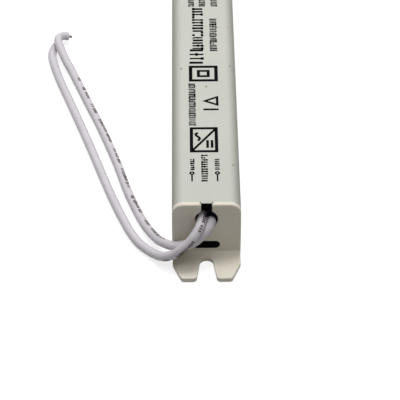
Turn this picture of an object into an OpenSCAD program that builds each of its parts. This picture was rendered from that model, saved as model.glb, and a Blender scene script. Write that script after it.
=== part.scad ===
// Slim constant voltage power supply in an extruded aluminium tube, with a moulded cap and foot at each end.
// Frame: X across, Y along the case from the input end to the output end, Z up from the mounting face.

/* [Case] */
// Length of the aluminium tube
case_len = 149.5; // [149:0.5:200]
// Outer width of the tube
case_w = 18; // [18:0.5:24]
// Outer height of the tube
case_h = 18.5; // [18:0.5:24]
// Wall of the tube
case_wall = 1; // [0.8:0.1:1.2]
// Outer radius of the two top edges
case_top_r = 3.2; // [1.5:0.1:3.5]
// Outer radius of the two bottom edges
case_bottom_r = 1.2; // [0.5:0.1:2]
// Depth of the rails that hold the circuit board
rail_depth = 1; // [0.8:0.1:1.4]
// Thickness of each rail
rail_t = 0.8; // [0.6:0.1:1]

/* [End caps] */
// Thickness of the flange that closes the tube
flange_t = 1.25; // [1:0.05:2.5]
// Radius of the two top corners of the flange
flange_r = 3.1; // [1.5:0.1:3.4]
// Depth of the plug inside the tube
plug_depth = 5; // [3:0.5:7]
// Wall of the plug
plug_wall = 1.2; // [0.8:0.1:1.6]
// Gap between the plug and the tube
plug_gap = 0.1; // [0.05:0.01:0.2]
// Diameter of the wire hole
keyhole_d = 5.9; // [5.6:0.1:6.4]
// Height of the centre of the wire hole above the mounting face
keyhole_z = 13.3; // [12.8:0.1:13.6]
// Width of the slot from the wire hole to the top edge
keyhole_slot_w = 2.8; // [2.4:0.1:3.2]
// Radius at the mouth of that slot
keyhole_mouth_r = 0.8; // [0.3:0.1:1]
// Radius of the two bottom corners of the flange
flange_bottom_r = 0.3; // [0.2:0.1:1]
// Height of the centre of the low window above the mounting face
window_z = 4.4; // [4.3:0.1:5]
// Length of the low window in the flange
window_w = 7.1; // [5:0.1:9]
// Height of the low window in the flange
window_h = 2.6; // [2:0.1:3]

/* [Mounting feet] */
// Reach of the foot beyond the flange
foot_len = 9.6; // [7:0.1:12]
// Thickness of the foot
foot_t = 1.4; // [1:0.1:2]
// Inset of the foot from each side of the flange
foot_inset = 0.05; // [0:0.05:0.5]
// Length of the straight side before the foot is cut back
foot_straight = 3.8; // [2:0.1:5]
// Width of the foot across its front
foot_tip_w = 13.2; // [11:0.1:15]
// Radius of the inner corners of the two prongs
prong_inner_r = 1.1; // [0.5:0.1:1.4]
// Radius of the outer corners of the two prongs
prong_outer_r = 0.9; // [0.2:0.1:1.2]
// Width of the screw slot at its closed end
screw_slot_w = 3.7; // [3.5:0.1:4.6]
// Width of the screw slot at its mouth
screw_mouth_w = 5.4; // [4.6:0.1:6.5]
// Distance from the flange to the closed end of the screw slot
screw_slot_start = 1.7; // [0.5:0.1:2]
// Height of the slope between flange and foot
gusset_h = 0.8; // [0.5:0.05:1.4]
// Reach of that slope
gusset_len = 1.4; // [0.5:0.05:1.6]

/* [Board and insulation] */
// Thickness of the circuit board
board_t = 1.2; // [1:0.1:1.6]
// Gap at each long edge of the board
board_side_gap = 0.15; // [0.1:0.05:0.3]
// Gap between each end of the board and a plug
board_end_gap = 0.3; // [0.2:0.1:1]
// Play of the board between its rails
board_play = 0.1; // [0.05:0.05:0.2]
// Thickness of the insulating film
film_t = 0.2; // [0.1:0.05:0.3]
// Gap between the folded film and the walls of the tube
film_gap = 0.1; // [0.05:0.05:0.2]
// Length of the heat pad under the transistor
heat_pad_len = 9; // [6:0.5:11]
// Width of the heat pad
heat_pad_w = 6; // [4:0.5:7]

/* [Leads and solder] */
// Diameter of the thick component leads
lead_d = 0.7; // [0.6:0.05:0.8]
// Gap round a lead in its hole
hole_gap = 0.12; // [0.08:0.02:0.2]
// Diameter of a solder joint at the board
solder_d = 1.8; // [1.5:0.1:1.9]
// Height of a solder joint
solder_h = 0.9; // [0.6:0.1:1.1]
// Gap between neighbouring parts along the board
part_gap = 1; // [0.8:0.1:1.3]
// Height at which parts with leads stand off the board
stand_off = 0.3; // [0.2:0.1:0.5]

/* [Input parts] */
// Distance of the input wires from the end of the board
wire_inset = 8.75; // [8:0.05:9]
// Spacing of the two input wires on the board
wire_pitch = 3.8; // [3:0.1:4.5]
// Diameter of the fuse
fuse_d = 3.6; // [3:0.1:4.2]
// Length of the fuse
fuse_len = 9; // [8:0.1:10]
// Diameter of the inrush thermistor
thermistor_d = 7.5; // [6:0.1:8]
// Thickness of the inrush thermistor
thermistor_t = 3.6; // [3:0.1:4.5]
// Gap at each side of the filter capacitor
filter_cap_side_gap = 1.2; // [1:0.1:1.8]
// Thickness of the filter capacitor
filter_cap_t = 6; // [5:0.1:7]
// Gap over the filter capacitor
filter_cap_top_gap = 1.2; // [0.8:0.1:2]
// Gap at each side of the common mode choke's coils
choke_side_gap = 0.5; // [0.3:0.1:0.8]
// Height of the choke's core
choke_h = 9.4; // [9:0.1:10.4]
// Thickness of the legs of the choke's core
choke_leg = 2.4; // [2:0.1:2.6]
// Diameter of each choke coil
choke_coil_d = 5.8; // [5.4:0.1:6]
// Gap over the bulk capacitor
bulk_top_gap = 1.9; // [1.5:0.1:2.5]
// Length of the bulk capacitor
bulk_len = 16; // [14:0.5:18]

/* [Switching parts] */
// Gap between the transistor and the controller chip
power_gap = 0.8; // [0.6:0.1:1.2]
// Length of the transistor's body
switch_len = 6.1; // [5.8:0.1:6.6]
// Thickness of the transistor's body
switch_t = 2.3; // [2:0.1:2.6]
// Diameter of the snubber capacitor
snubber_d = 6; // [5:0.1:6.4]
// Thickness of the snubber capacitor
snubber_t = 2.6; // [2:0.1:3.4]
// Gap at each side of the transformer's core
core_side_gap = 0.7; // [0.4:0.1:1]
// Length of the transformer's core
core_len = 15; // [14:0.1:16]
// Height of the transformer's core
core_h = 4.8; // [4:0.1:5.4]
// Thickness of the core's back and outer legs
core_leg = 2; // [1.8:0.1:2.2]
// Depth from the outside of the winding to the core's centre leg
winding_depth = 2.4; // [2.2:0.1:2.6]
// Thickness of the bobbin's tube and flanges
bobbin_wall = 0.7; // [0.5:0.1:0.9]
// Gap between the transformer's winding and the outer legs of the core
winding_gap = 0.4; // [0.3:0.05:0.6]
// Height of the bobbin's rims over the winding
bobbin_rim = 0.4; // [0.3:0.05:0.5]
// Thickness of the tape round the core
tape_t = 0.15; // [0.1:0.05:0.2]

/* [Output parts] */
// Diameter of the output diode
diode_d = 5; // [4:0.1:5.3]
// Length of the output diode
diode_len = 8.5; // [7:0.1:9]
// Diameter of the output inductor
inductor_d = 8; // [6:0.1:8.2]
// Height of the output inductor
inductor_h = 9; // [7:0.1:10]
// Gap between the two output capacitors
output_cap_gap = 0.6; // [0.4:0.1:1.4]
// Gap over the output capacitors
output_cap_top_gap = 0.9; // [0.5:0.1:2]

/* [Input wires] */
// Diameter of the wire's insulation
wire_d = 2.5; // [2.2:0.1:2.6]
// Diameter of the wire's conductor
conductor_d = 0.8; // [0.6:0.05:0.9]
// Length of bare conductor at the free end
bare_tip = 1.2; // [0.8:0.1:3]

/* [Hidden] */
$fn = 64;
eps = 0.01;

// Tube and caps
inner_w = case_w - 2 * case_wall;
inner_h = case_h - 2 * case_wall;
inner_top_r = max(case_top_r - case_wall, 0.2);
inner_bottom_r = max(case_bottom_r - case_wall, 0.2);
tube_end = case_len / 2;
face_y = tube_end + flange_t;
slot_r = screw_slot_w / 2;
slot_centre = screw_slot_start + slot_r;
foot_w = case_w - 2 * foot_inset;

// Steps of the arcs in the outline of the foot
corner_steps = 7;
slot_end_steps = 24;

// The board lies at the height of the window
board_z = window_z - board_t / 2;
board_top = board_z + board_t;
board_w = inner_w - 2 * board_side_gap;
board_len = case_len - 2 * (plug_depth + board_end_gap);
rail_slot_h = board_t + board_play;
rail_top = board_z + rail_slot_h + rail_t;
film_floor = case_wall + film_t;
film_width = inner_w - 2 * film_gap;
film_ceiling = case_h - case_wall - film_gap;
room_x = inner_w / 2 - rail_depth - 0.4;
room_w = film_width - 2 * film_t;
room_h = film_ceiling - film_t - board_top;
seat_z = board_top + stand_off;

// Places along the board: the input side is set out from its input end, the output side from its other end
lead_r = lead_d / 2;
lead_bend = 1.6;
wires_y = -board_len / 2 + wire_inset;
fuse_x = -room_x + fuse_d / 2;
fuse_y = wires_y + wire_d / 2 + part_gap + lead_bend + fuse_len / 2;
thermistor_x = room_x - thermistor_d / 2;
thermistor_pitch = 5;
filter_cap_w = room_w - 2 * filter_cap_side_gap;
filter_cap_h = room_h - filter_cap_top_gap;
filter_cap_lead_inset = 1.5;
filter_cap_pitch = filter_cap_w - 2 * filter_cap_lead_inset;
filter_cap_y = fuse_y + fuse_len / 2 + lead_bend + part_gap + filter_cap_t / 2;
choke_y = filter_cap_y + filter_cap_t / 2 + part_gap + choke_coil_d / 2;
choke_w = room_w - 2 * choke_side_gap - choke_coil_d + choke_leg;
bridge_w = 6.4;
bridge_len = 8.2;
bridge_t = 3.2;
bridge_pin_x = 3.8;
bridge_pin_y = 2.5;
bridge_y = choke_y + choke_coil_d / 2 + part_gap + bridge_len / 2;
bulk_d = room_h - stand_off - bulk_top_gap;
bulk_pitch = 5;
bulk_y = bridge_y + bridge_len / 2 + part_gap + bulk_len / 2;
power_y = bulk_y + bulk_len / 2 + lead_bend + lead_r + part_gap;
tab_len = 1.2;
switch_reach = 2.4;
switch_y = power_y + tab_len + switch_len / 2;
chip_w = 3.9;
chip_len = 4.9;
chip_t = 1.5;
chip_reach = 3;
switch_w = 2 * (room_x - chip_reach) - power_gap;
switch_x = -room_x + switch_w / 2;
switch_pitch = 4.6;
chip_x = room_x - chip_reach;
chip_y = power_y + chip_len / 2;
snubber_y = switch_y + switch_len / 2 + switch_reach + part_gap + snubber_t / 2;
snubber_x = -room_x + snubber_d / 2;
snubber_pitch = 3.6;
resistor_d = 2.3;
resistor_len = 6.4;
resistor_pitch = 2.8;
resistor_x = room_x - resistor_d / 2 - resistor_pitch;

outlet_inset = 8;
outlet_y = board_len / 2 - outlet_inset;
output_cap_h = room_h - stand_off - output_cap_top_gap;
output_cap_d = room_x - output_cap_gap / 2;
output_cap_x = room_x - output_cap_d / 2;
output_cap_pitch = 2.5;
output_cap_y = outlet_y - part_gap - lead_bend - output_cap_d / 2;
inductor_x = -room_x + inductor_d / 2;
inductor_y = output_cap_y - output_cap_d / 2 - part_gap - inductor_d / 2;
inductor_pitch = 5;
safety_d = 7;
safety_t = 3;
safety_x = room_x - safety_t / 2;
safety_pitch = 5;
diode_x = -room_x + diode_d / 2;
diode_y = inductor_y - inductor_d / 2 - part_gap - lead_bend - diode_len / 2;
opto_w = 4.4;
opto_len = 4.6;
opto_t = 3.2;
opto_reach = 3;
opto_x = room_x - opto_reach;
opto_y = diode_y;
opto_pitch = 2.54;
core_y = diode_y - diode_len / 2 - lead_bend - part_gap - core_len / 2;
coil_gap = 0.05;
core_w = room_w - 2 * core_side_gap;
winding_d = core_w - 2 * core_leg - 2 * winding_gap;
core_centre_d = winding_d - 2 * winding_depth;
bobbin_flange_h = winding_d + 2 * bobbin_rim;
core_z = seat_z + bobbin_flange_h / 2;
core_window = core_len - 2 * core_leg;
bobbin_bore_d = core_centre_d + 4 * coil_gap;
bobbin_tube_d = bobbin_bore_d + 2 * bobbin_wall;
bobbin_flange_w = core_w - 2 * core_leg - winding_gap;
bobbin_len = core_window - 2 * coil_gap;
pin_block_w = core_w - 2;
pin_block_len = core_leg + coil_gap + bobbin_wall / 2;
pin_block_top = core_z - core_h / 2 - coil_gap;
pin_pitch = 3.2;

// Where each lead meets the board
function axial_leads(x, y, l) = [for (s = [-1, 1]) [x, y + s * (l / 2 + lead_bend)]];
function pair_x(x, y, pitch) = [for (s = [-1, 1]) [x + s * pitch / 2, y]];
function pair_y(x, y, pitch) = [for (s = [-1, 1]) [x, y + s * pitch / 2]];
function grid(x, y, dx, dy) = [for (i = [-1, 1], j = [-1, 1]) [x + i * dx, y + j * dy]];
wire_leads = pair_x(0, wires_y, wire_pitch);
outlet_holes = pair_x(0, outlet_y, wire_pitch);
fuse_leads = axial_leads(fuse_x, fuse_y, fuse_len);
thermistor_leads = pair_x(thermistor_x, fuse_y, thermistor_pitch);
filter_cap_leads = pair_x(0, filter_cap_y, filter_cap_pitch);
choke_coil_x = choke_w / 2 - choke_leg / 2;
choke_turn_d = 0.5;
choke_leads = grid(0, choke_y, choke_coil_x, (choke_coil_d - choke_turn_d) / 2 - lead_r);
bridge_leads = grid(0, bridge_y, bridge_pin_x, bridge_pin_y);
bulk_leads = pair_x(0, bulk_y + bulk_len / 2 + lead_bend, bulk_pitch);
snubber_leads = pair_x(snubber_x, snubber_y, snubber_pitch);
resistor_leads = [[resistor_x, snubber_y], [resistor_x + resistor_pitch, snubber_y]];
bobbin_pins = [for (s = [-1, 1], i = [-1.5:1.5]) [i * pin_pitch, core_y + s * (core_len / 2 - core_leg / 2)]];
safety_leads = pair_y(safety_x, inductor_y, safety_pitch);
diode_leads = axial_leads(diode_x, diode_y, diode_len);
inductor_leads = pair_y(inductor_x, inductor_y, inductor_pitch);
output_cap_leads_a = pair_y(-output_cap_x, output_cap_y, output_cap_pitch);
output_cap_leads_b = pair_y(output_cap_x, output_cap_y, output_cap_pitch);
LEADS = concat(
    wire_leads, fuse_leads, thermistor_leads, filter_cap_leads, choke_leads, bridge_leads, bulk_leads,
    snubber_leads, resistor_leads, bobbin_pins, safety_leads, diode_leads, inductor_leads,
    output_cap_leads_a, output_cap_leads_b
);

// Routes of the input wires: up from the board, out through the wire hole, down to the left and away
outer_route = [
    [-1.9, -60.7, 5.9], [-1.9, -60.7, 8], [-1.85, -61.6, 10.8], [-1.8, -63.8, 12.7], [-1.6, -66.8, 13.5],
    [-1.4, -70, 13.6], [-1.2, -73.2, 13.6], [-1.2, -75.4, 13.4], [-1.8, -77.85, 12.6], [-3.3, -79.8, 10.9],
    [-4.95, -80.7, 9.1], [-6.75, -81, 7.35], [-8.5, -80.5, 5.35], [-10.75, -79.6, 3.75], [-12.75, -77.6, 2.1],
    [-15.15, -75, 1.35], [-17.8, -72, 1.25], [-20.15, -67.8, 1.25], [-22.4, -62.3, 1.25], [-24.5, -56.6, 1.25],
    [-27.4, -47.8, 1.25], [-30.3, -38.4, 1.25], [-33.4, -28.5, 1.25], [-36.6, -18.7, 1.25], [-39.75, -9.2, 1.25],
    [-42.4, -1.2, 1.25], [-44.5, 6.5, 1.25], [-45.2, 10.5, 1.25], [-45, 13, 1.25], [-44.4, 15.2, 1.25]
];
inner_route = [
    [1.9, -60.7, 5.9], [1.9, -60.7, 8], [1.85, -61.6, 10.8], [1.75, -63.8, 12.6], [1.6, -66.8, 13.2],
    [1.5, -70, 13.3], [1.4, -73.2, 13], [1.25, -75.4, 12.4], [0.3, -77.05, 11.05], [-1.55, -78.25, 9.35],
    [-3.6, -78.7, 7.7], [-6.1, -78.4, 6.6], [-8.5, -77.8, 5.75], [-10, -76.9, 5.35], [-11.5, -75.3, 4.7],
    [-12.9, -73, 3.65], [-15.35, -67.6, 2.05], [-17.45, -62.4, 1.25], [-19.2, -57.6, 1.25], [-21.2, -51.6, 1.25],
    [-24.2, -40.5, 1.25], [-27.2, -30.7, 1.25], [-30.3, -21.4, 1.25], [-33.7, -12, 1.25], [-37.2, -2.1, 1.25],
    [-38.9, 2.4, 1.55], [-40.6, 6, 2.35], [-42.1, 9.6, 3.35], [-43.1, 12.6, 3.85], [-43.5, 14.9, 3.75],
    [-43.2, 16.9, 3.25], [-42.2, 18.3, 2.75], [-40.8, 18.9, 2.15]
];

// Helpers

// Extrudes an outline in X and Z along the case, from y0 to y1
module along_y(y0, y1) {
    translate([0, y1, 0]) rotate([90, 0, 0]) linear_extrude(y1 - y0) children();
}

// A round bar along the case, centred on the Y axis
module bar_y(d, l) {
    rotate([90, 0, 0]) cylinder(d = d, h = l, center = true);
}

// Revolves an outline of radius and length about the Y axis, starting at y = 0
module revolve_y() {
    rotate([-90, 0, 0]) rotate_extrude() children();
}

// A block that stands on its base, centred in X and Y
module block(size) {
    translate([-size[0] / 2, -size[1] / 2, 0]) cube(size);
}

// The section of the case: square sides with rounded edges
module section(w, h, top_r, bottom_r) {
    translate([-w / 2, bottom_r]) square([w, h - top_r - bottom_r]);
    translate([-w / 2 + top_r, h - top_r]) square([w - 2 * top_r, top_r]);
    translate([-w / 2 + bottom_r, 0]) square([w - 2 * bottom_r, bottom_r]);
    for (s = [-1, 1]) {
        translate([s * (w / 2 - top_r), h - top_r]) circle(top_r);
        translate([s * (w / 2 - bottom_r), bottom_r]) circle(bottom_r);
    }
}

module inner_section(gap) {
    top_r = max(inner_top_r - gap, 0.1);
    bottom_r = max(inner_bottom_r - gap, 0.1);
    translate([0, case_wall + gap]) section(inner_w - 2 * gap, inner_h - 2 * gap, top_r, bottom_r);
}

// The points of an open outline whose corner k is rounded with radii[k] by an arc tangent to both sides
function rounded_corners(points, radii) = [
    for (k = [0:len(points) - 1]) each radii[k] == 0 ? [points[k]] : let (
        u = unit(points[k - 1] - points[k]),
        v = unit(points[k + 1] - points[k]),
        half_angle = acos(u * v) / 2,
        centre = points[k] + unit(u + v) * radii[k] / sin(half_angle),
        first = points[k] + u * radii[k] / tan(half_angle) - centre,
        turn = sign(cross(v, u)) * (180 - 2 * half_angle)
    ) [for (i = [0:corner_steps]) centre + turned(first, turn * i / corner_steps)]
];
function turned(v, a) = [v[0] * cos(a) - v[1] * sin(a), v[0] * sin(a) + v[1] * cos(a)];

// A lead from height z down through the board
module lead(at, z) {
    translate([at[0], at[1], board_z]) cylinder(r = lead_r, h = z - board_z);
}

// A lead that leaves a lying part at height z, from y0, and turns down at its hole
module bent_lead(at, y0, z) {
    lead(at, z);
    translate([at[0], at[1], z]) sphere(lead_r);
    translate([at[0], (at[1] + y0) / 2, z]) bar_y(lead_d, abs(at[1] - y0));
}

// A flat foot of a surface mounted part: out from the body at half height, down and out along the board
module gull_leg(x_body, x_end, height, w) {
    t = 0.3;
    s = sign(x_end - x_body);
    knee = x_body + s * abs(x_end - x_body) / 2;
    translate([0, -w / 2, board_top]) {
        translate([min(x_body, knee), 0, height - t]) cube([abs(knee - x_body) + eps, w, t]);
        translate([knee - t / 2, 0, 0]) cube([t, w, height]);
        translate([min(knee, x_end), 0, 0]) cube([abs(x_end - knee), w, t]);
    }
}

// Case and caps

module case_profile() {
    color([0.80, 0.81, 0.77]) along_y(-tube_end, tube_end) {
        difference() {
            section(case_w, case_h, case_top_r, case_bottom_r);
            inner_section(0);
        }
        // Two ribs on each side make the slot for the board
        for (s = [0, 1]) mirror([s, 0]) for (z = [board_z - rail_t, board_z + rail_slot_h])
            translate([inner_w / 2 - rail_depth, z]) square([rail_depth + case_wall / 2, rail_t]);
    }
}

// The round closed end of the screw slot, from its left side to its right side
screw_slot_end = [
    for (i = [0:slot_end_steps]) let (a = 180 * (1 - i / slot_end_steps))
        [slot_r * cos(a), slot_r * sin(a) - slot_centre]
];

// The mounting foot seen from above: two prongs either side of an open screw slot
module foot_outline() {
    half = foot_w / 2;
    tip = foot_tip_w / 2;
    mouth = screw_mouth_w / 2;
    left = rounded_corners(
        [[-half, 0], [-half, -foot_straight], [-tip, -foot_len], [-mouth, -foot_len], screw_slot_end[0]],
        [0, prong_outer_r, prong_outer_r, prong_inner_r, 0]
    );
    right = [for (i = [len(left) - 1:-1:0]) [-left[i][0], left[i][1]]];
    polygon(concat(left, screw_slot_end, right));
}

module screw_slot() {
    reach = [for (s = [1, -1]) [s * slot_r, -slot_centre - slot_r]];
    translate([0, -face_y, -eps]) linear_extrude(case_h) polygon(concat(screw_slot_end, reach));
}

// The slope that stiffens the corner between flange and foot
module gusset() {
    translate([-foot_w / 2, -face_y, foot_t]) rotate([90, 0, 90]) linear_extrude(foot_w)
        polygon([[0, 0], [0, gusset_h], [-gusset_len, 0]]);
}

// The wire hole with its slot to the top edge, whose mouth is rounded
module keyhole() {
    half = keyhole_slot_w / 2;
    r = keyhole_mouth_r;
    translate([0, keyhole_z]) circle(d = keyhole_d);
    translate([-half, keyhole_z]) square([keyhole_slot_w, case_h - keyhole_z + 1]);
    for (s = [0, 1]) mirror([s, 0]) difference() {
        translate([half - eps, case_h - r]) square([r + eps, r + 1]);
        translate([half + r, case_h - r]) circle(r);
    }
}

module window() {
    r = window_h / 2;
    for (s = [-1, 1]) translate([s * (window_w / 2 - r), window_z]) circle(r);
    translate([r - window_w / 2, window_z - r]) square([window_w - window_h, window_h]);
}

// The wall of the plug inside the tube, open at the rails and under the wire slot
module plug_section() {
    difference() {
        inner_section(plug_gap);
        inner_section(plug_gap + plug_wall);
        for (s = [0, 1]) mirror([s, 0])
            translate([inner_w / 2 - plug_wall - 2 * plug_gap, board_z - rail_t - 2 * plug_gap])
                square([inner_w, rail_slot_h + 2 * rail_t + 4 * plug_gap]);
        translate([-keyhole_slot_w / 2, keyhole_z]) square([keyhole_slot_w, case_h]);
    }
}

module end_cap() {
    along_y(-face_y, -tube_end) difference() {
        section(case_w, case_h, flange_r, flange_bottom_r);
        keyhole();
        window();
    }
    along_y(-tube_end - eps, -tube_end + plug_depth) plug_section();
    translate([0, -face_y, 0]) linear_extrude(foot_t) foot_outline();
    difference() {
        gusset();
        screw_slot();
    }
}

module input_end_cap() {
    color([0.90, 0.90, 0.87]) end_cap();
}

module output_end_cap() {
    color([0.90, 0.90, 0.87]) mirror([0, 1, 0]) end_cap();
}

// Insulation, board and solder

// Film folded over the parts, with its two edges standing on the upper rails
module folded_film() {
    h = film_ceiling - rail_top;
    color([0.12, 0.12, 0.13]) translate([0, 0, rail_top]) along_y(-board_len / 2, board_len / 2)
        difference() {
            section(film_width, h, inner_top_r, eps);
            translate([0, -1]) section(film_width - 2 * film_t, h - film_t + 1, inner_top_r, eps);
        }
}

module floor_film() {
    color([0.12, 0.12, 0.13]) translate([0, 0, case_wall])
        block([film_width - 2 * inner_bottom_r, board_len, film_t]);
}

module circuit_board() {
    hole_d = lead_d + 2 * hole_gap;
    color([0.16, 0.36, 0.20]) difference() {
        translate([0, 0, board_z]) block([board_w, board_len, board_t]);
        for (p = concat(LEADS, outlet_holes))
            translate([p[0], p[1], board_z - 1]) cylinder(d = hole_d, h = board_t + 2);
    }
}

module solder_joints() {
    color([0.75, 0.76, 0.78]) for (p = LEADS)
        translate([p[0], p[1], board_z - solder_h]) cylinder(d1 = lead_d, d2 = solder_d, h = solder_h);
}

module heat_pad() {
    color([0.55, 0.62, 0.72]) translate([switch_x, switch_y, film_floor])
        block([heat_pad_w, heat_pad_len, board_z - film_floor]);
}

// Input side

module input_fuse() {
    r = fuse_d / 2;
    z = seat_z + r;
    cap = 1.8;
    color([0.86, 0.84, 0.78]) {
        translate([fuse_x, fuse_y - fuse_len / 2, z]) revolve_y() polygon([
            [0, 0], [r, 0], [r, cap], [r - 0.2, cap],
            [r - 0.2, fuse_len - cap], [r, fuse_len - cap], [r, fuse_len], [0, fuse_len]
        ]);
        for (i = [0, 1]) bent_lead(fuse_leads[i], fuse_y + (2 * i - 1) * (fuse_len / 2 - 0.2), z);
    }
}

// A coated disc on two leads, lying in X and Z and round at its rim
module disc_part(x, y, d, t, leads) {
    z = seat_z + d / 2;
    rim = t / 2;
    translate([x, y - t / 2, z]) revolve_y() {
        square([d / 2 - rim, t]);
        translate([d / 2 - rim, rim]) intersection() {
            circle(rim);
            translate([0, -rim]) square([rim, t]);
        }
    }
    for (p = leads) lead(p, z);
}

module inrush_thermistor() {
    color([0.14, 0.30, 0.22]) disc_part(thermistor_x, fuse_y, thermistor_d, thermistor_t, thermistor_leads);
}

module filter_capacitor() {
    foot = stand_off;
    color([0.86, 0.74, 0.20]) {
        translate([0, filter_cap_y, seat_z]) block([filter_cap_w, filter_cap_t, filter_cap_h - foot]);
        // Ridges under the box keep it off the board
        for (s = [-1, 1]) translate([s * (filter_cap_w / 2 - 0.5), filter_cap_y, board_top])
            block([1, filter_cap_t, foot + eps]);
        for (p = filter_cap_leads) lead(p, seat_z + 1);
    }
}

module choke_core() {
    color([0.24, 0.24, 0.26]) translate([0, choke_y + choke_leg / 2, board_top]) rotate([90, 0, 0])
        linear_extrude(choke_leg) difference() {
            translate([-choke_w / 2, 0]) square([choke_w, choke_h]);
            translate([-choke_w / 2 + choke_leg, choke_leg])
                square([choke_w - 2 * choke_leg, choke_h - 2 * choke_leg]);
        }
}

// A coil about the Z axis: a tube whose outside shows its turns
module turns(outer_d, bore_d, h, turn_d) {
    count = floor(h / turn_d);
    rotate_extrude() {
        translate([bore_d / 2, 0]) square([(outer_d - bore_d) / 2 - 0.3 * turn_d, h]);
        for (i = [0:count - 1])
            translate([(outer_d - turn_d) / 2, (i + 0.5) * h / count]) circle(d = h / count);
    }
}

module choke_coils() {
    h = choke_h - 2 * choke_leg - 2 * coil_gap;
    z = board_top + choke_leg + coil_gap;
    bore_d = choke_leg * sqrt(2) + 2 * coil_gap;
    color([0.72, 0.38, 0.20]) {
        for (s = [-1, 1]) translate([s * choke_coil_x, choke_y, z])
            turns(choke_coil_d, bore_d, h, choke_turn_d);
        for (p = choke_leads) lead(p, z + choke_turn_d / 2);
    }
}

module bridge_rectifier() {
    t = 0.3;
    w = 0.6;
    z = seat_z + bridge_t / 2;
    color([0.13, 0.13, 0.14]) {
        translate([0, bridge_y, seat_z]) difference() {
            block([bridge_w, bridge_len, bridge_t]);
            translate([0, -bridge_len / 2, bridge_t]) cylinder(d = 1.6, h = 0.6, center = true);
        }
        for (p = bridge_leads) {
            translate([p[0], p[1], board_z]) block([t, w, z - board_z]);
            translate([p[0] / 2, p[1], z - t]) block([abs(p[0]) + t, w, t]);
        }
    }
}

// The can of an electrolytic capacitor along Z: crimp near its lead end, rolled edges and a scored top
module can(d, h) {
    edge = 0.5;
    crimp_r = 0.5;
    crimp_h = 1.8;
    score = 0.25;
    difference() {
        rotate_extrude() difference() {
            union() {
                translate([0, edge]) square([d / 2, h - 2 * edge]);
                square([d / 2 - edge, h]);
                for (z = [edge, h - edge]) translate([d / 2 - edge, z]) circle(edge);
            }
            translate([d / 2 + crimp_r / 2, crimp_h]) circle(crimp_r);
        }
        for (a = [0, 90]) rotate([0, 0, a]) translate([0, 0, h - score]) block([d * 0.7, score, 1]);
    }
}

module bulk_capacitor() {
    z = seat_z + bulk_d / 2;
    color([0.10, 0.12, 0.28]) {
        translate([0, bulk_y + bulk_len / 2, z]) rotate([90, 0, 0]) can(bulk_d, bulk_len);
        for (p = bulk_leads) bent_lead(p, bulk_y + bulk_len / 2 - 0.2, z);
    }
}

// Switching side

module switch_transistor() {
    tab_t = 0.5;
    color([0.15, 0.15, 0.16]) {
        translate([switch_x, switch_y, board_top]) block([switch_w, switch_len, switch_t]);
        translate([switch_x, switch_y - switch_len / 2 - tab_len / 2 + eps, board_top])
            block([switch_w - 1, tab_len, tab_t]);
        for (s = [-1, 1]) translate([switch_x + s * switch_pitch / 2, switch_y + switch_len / 2, 0])
            rotate([0, 0, 90]) gull_leg(-eps, switch_reach, switch_t / 2, 0.8);
    }
}

module controller_chip() {
    dot_inset = 0.8;
    color([0.13, 0.13, 0.14]) {
        translate([chip_x, chip_y, board_top + 0.1]) difference() {
            block([chip_w, chip_len, chip_t]);
            translate([dot_inset - chip_w / 2, dot_inset - chip_len / 2, chip_t])
                cylinder(d = 0.7, h = 0.2, center = true);
        }
        for (s = [-1, 1], i = [-1.5:1.5]) translate([chip_x, chip_y + i * 1.27, 0])
            gull_leg(s * (chip_w / 2 - eps), s * chip_reach, chip_t / 2 + 0.1, 0.4);
    }
}

// Stands on end, with its upper lead turned back down to the board
module snubber_resistor() {
    top = seat_z + resistor_len + 0.9;
    at = resistor_leads[0];
    color([0.72, 0.64, 0.48]) {
        translate([at[0], at[1], seat_z]) rotate_extrude() {
            translate([0, 0.6]) square([resistor_d / 2 - 0.15, resistor_len - 1.2]);
            for (z = [0, resistor_len - 1.6]) translate([0, z]) {
                square([resistor_d / 2 - 0.3, 1.6]);
                translate([0, 0.3]) square([resistor_d / 2, 1]);
                for (e = [0.3, 1.3]) translate([resistor_d / 2 - 0.3, e]) circle(0.3);
            }
        }
        lead(at, top);
        lead(resistor_leads[1], top);
        for (p = resistor_leads) translate([p[0], p[1], top]) sphere(lead_r);
        translate([at[0] + resistor_pitch / 2, at[1], top]) rotate([0, 90, 0])
            cylinder(r = lead_r, h = resistor_pitch, center = true);
    }
}

module snubber_capacitor() {
    color([0.16, 0.36, 0.66]) disc_part(snubber_x, snubber_y, snubber_d, snubber_t, snubber_leads);
}

module transformer_bobbin() {
    color([0.18, 0.18, 0.19]) {
        translate([0, core_y, core_z]) difference() {
            union() {
                bar_y(bobbin_tube_d, bobbin_len);
                for (s = [-1, 1]) translate([0, s * (bobbin_len - bobbin_wall) / 2, -bobbin_flange_h / 2])
                    block([bobbin_flange_w, bobbin_wall, bobbin_flange_h]);
            }
            bar_y(bobbin_bore_d, core_len);
        }
        // A block under each back of the core carries the pins and joins the flange
        for (s = [-1, 1]) translate([0, core_y + s * (core_len - pin_block_len) / 2, board_top])
            block([pin_block_w, pin_block_len, pin_block_top - board_top]);
        for (p = bobbin_pins) lead(p, board_top + 1);
    }
}

module transformer_winding() {
    l = bobbin_len - 2 * bobbin_wall - 2 * coil_gap;
    color([0.78, 0.66, 0.22]) translate([0, core_y - l / 2, core_z]) rotate([-90, 0, 0])
        turns(winding_d, bobbin_tube_d + 2 * coil_gap, l, 0.6);
}

// One half of the core: a back, two outer legs and a round centre leg that meet the other half in the middle
module core_half() {
    color([0.22, 0.22, 0.24]) translate([0, core_y, core_z]) {
        translate([0, -core_len / 2 + core_leg / 2, -core_h / 2]) block([core_w, core_leg, core_h]);
        for (s = [-1, 1]) translate([s * (core_w - core_leg) / 2, -core_len / 4, -core_h / 2])
            block([core_leg, core_len / 2, core_h]);
        translate([0, -core_len / 4, 0]) bar_y(core_centre_d, core_len / 2);
    }
}

module transformer_core_a() {
    core_half();
}

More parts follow.
